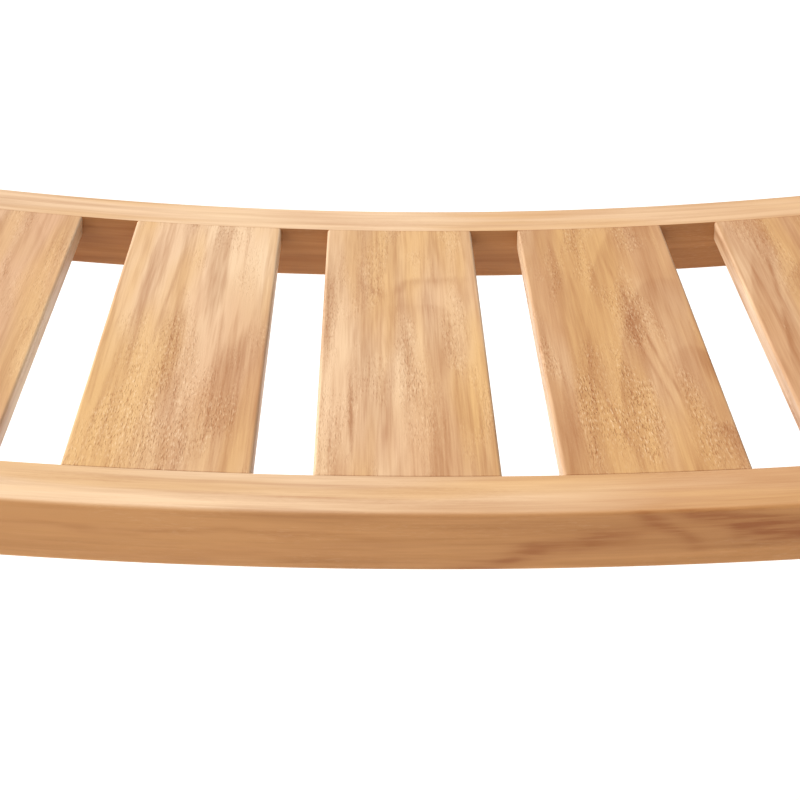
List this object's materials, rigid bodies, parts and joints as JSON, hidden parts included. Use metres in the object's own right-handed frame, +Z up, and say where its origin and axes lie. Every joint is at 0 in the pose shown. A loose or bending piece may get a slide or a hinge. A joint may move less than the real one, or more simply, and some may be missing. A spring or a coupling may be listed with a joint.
{
  "type": "shower stool",
  "caption": "Backless bathing stool with a dished slatted wooden seat between curved rails, on tapered legs with screw-adjustable feet.",
  "frame": {"origin": "on the floor under the middle of the seat", "axes": "+X along the stool's width, +Y from the front rail to the rear rail, +Z up"},
  "size_m": [0.6, 0.31, 0.4495],
  "materials": {
    "teak_rails": "sanded and lightly oiled teak",
    "teak_slats": "sanded and lightly oiled teak",
    "teak_legs": "sanded and lightly oiled teak",
    "teak_pegs": "end grain, sanded flush",
    "stainless": "turned stainless steel",
    "brass_insert": "turned brass",
    "black_plastic": "fine matte moulding",
    "rubber_sole": "matte rubber"
  },
  "bodies": {
    "stool_frame": {"front_rail": "teak_rails", "rear_rail": "teak_rails", "slat_1": "teak_slats", "slat_2": "teak_slats", "slat_3": "teak_slats", "slat_4": "teak_slats", "slat_5": "teak_slats", "leg_front_left": "teak_legs", "leg_front_right": "teak_legs", "leg_rear_left": "teak_legs", "leg_rear_right": "teak_legs", "end_rail_left": "teak_rails", "end_rail_right": "teak_rails", "stretcher_left": "teak_legs", "stretcher_right": "teak_legs", "end_rail_pegs": "teak_pegs", "stretcher_pegs": "teak_pegs", "leg_bolts": "stainless", "barrel_nuts": "stainless", "foot_inserts": "brass_insert"},
    "foot_front_left": {"foot_pad_front_left": "black_plastic", "foot_sole_front_left": "rubber_sole"},
    "screw_front_left": {"foot_stud_front_left": "stainless"},
    "foot_front_right": {"foot_pad_front_right": "black_plastic", "foot_sole_front_right": "rubber_sole"},
    "screw_front_right": {"foot_stud_front_right": "stainless"},
    "foot_rear_left": {"foot_pad_rear_left": "black_plastic", "foot_sole_rear_left": "rubber_sole"},
    "screw_rear_left": {"foot_stud_rear_left": "stainless"},
    "foot_rear_right": {"foot_pad_rear_right": "black_plastic", "foot_sole_rear_right": "rubber_sole"},
    "screw_rear_right": {"foot_stud_rear_right": "stainless"}
  },
  "joints": [
    {"name": "foot_travel_front_left", "type": "slide", "parent": "stool_frame", "child": "foot_front_left", "axis": [0, 0, -1], "range_m": [0, 0.01]},
    {"name": "foot_turn_front_left", "type": "hinge", "parent": "foot_front_left", "child": "screw_front_left", "pos_m": [-0.2865, -0.141, 0.0102], "axis": [0, 0, -1], "range_deg": [0, 2880]},
    {"name": "foot_travel_front_right", "type": "slide", "parent": "stool_frame", "child": "foot_front_right", "axis": [0, 0, -1], "range_m": [0, 0.01]},
    {"name": "foot_turn_front_right", "type": "hinge", "parent": "foot_front_right", "child": "screw_front_right", "pos_m": [0.2865, -0.141, 0.0102], "axis": [0, 0, -1], "range_deg": [0, 2880]},
    {"name": "foot_travel_rear_left", "type": "slide", "parent": "stool_frame", "child": "foot_rear_left", "axis": [0, 0, -1], "range_m": [0, 0.01]},
    {"name": "foot_turn_rear_left", "type": "hinge", "parent": "foot_rear_left", "child": "screw_rear_left", "pos_m": [-0.2865, 0.141, 0.0102], "axis": [0, 0, -1], "range_deg": [0, 2880]},
    {"name": "foot_travel_rear_right", "type": "slide", "parent": "stool_frame", "child": "foot_rear_right", "axis": [0, 0, -1], "range_m": [0, 0.01]},
    {"name": "foot_turn_rear_right", "type": "hinge", "parent": "foot_rear_right", "child": "screw_rear_right", "pos_m": [0.2865, 0.141, 0.0102], "axis": [0, 0, -1], "range_deg": [0, 2880]}
  ],
  "couplings": [
    {"joint": "foot_turn_front_left", "follows": "foot_travel_front_left", "rad_per_m": 5026.5},
    {"joint": "foot_turn_front_right", "follows": "foot_travel_front_right", "rad_per_m": 5026.5},
    {"joint": "foot_turn_rear_left", "follows": "foot_travel_rear_left", "rad_per_m": 5026.5},
    {"joint": "foot_turn_rear_right", "follows": "foot_travel_rear_right", "rad_per_m": 5026.5}
  ]
}
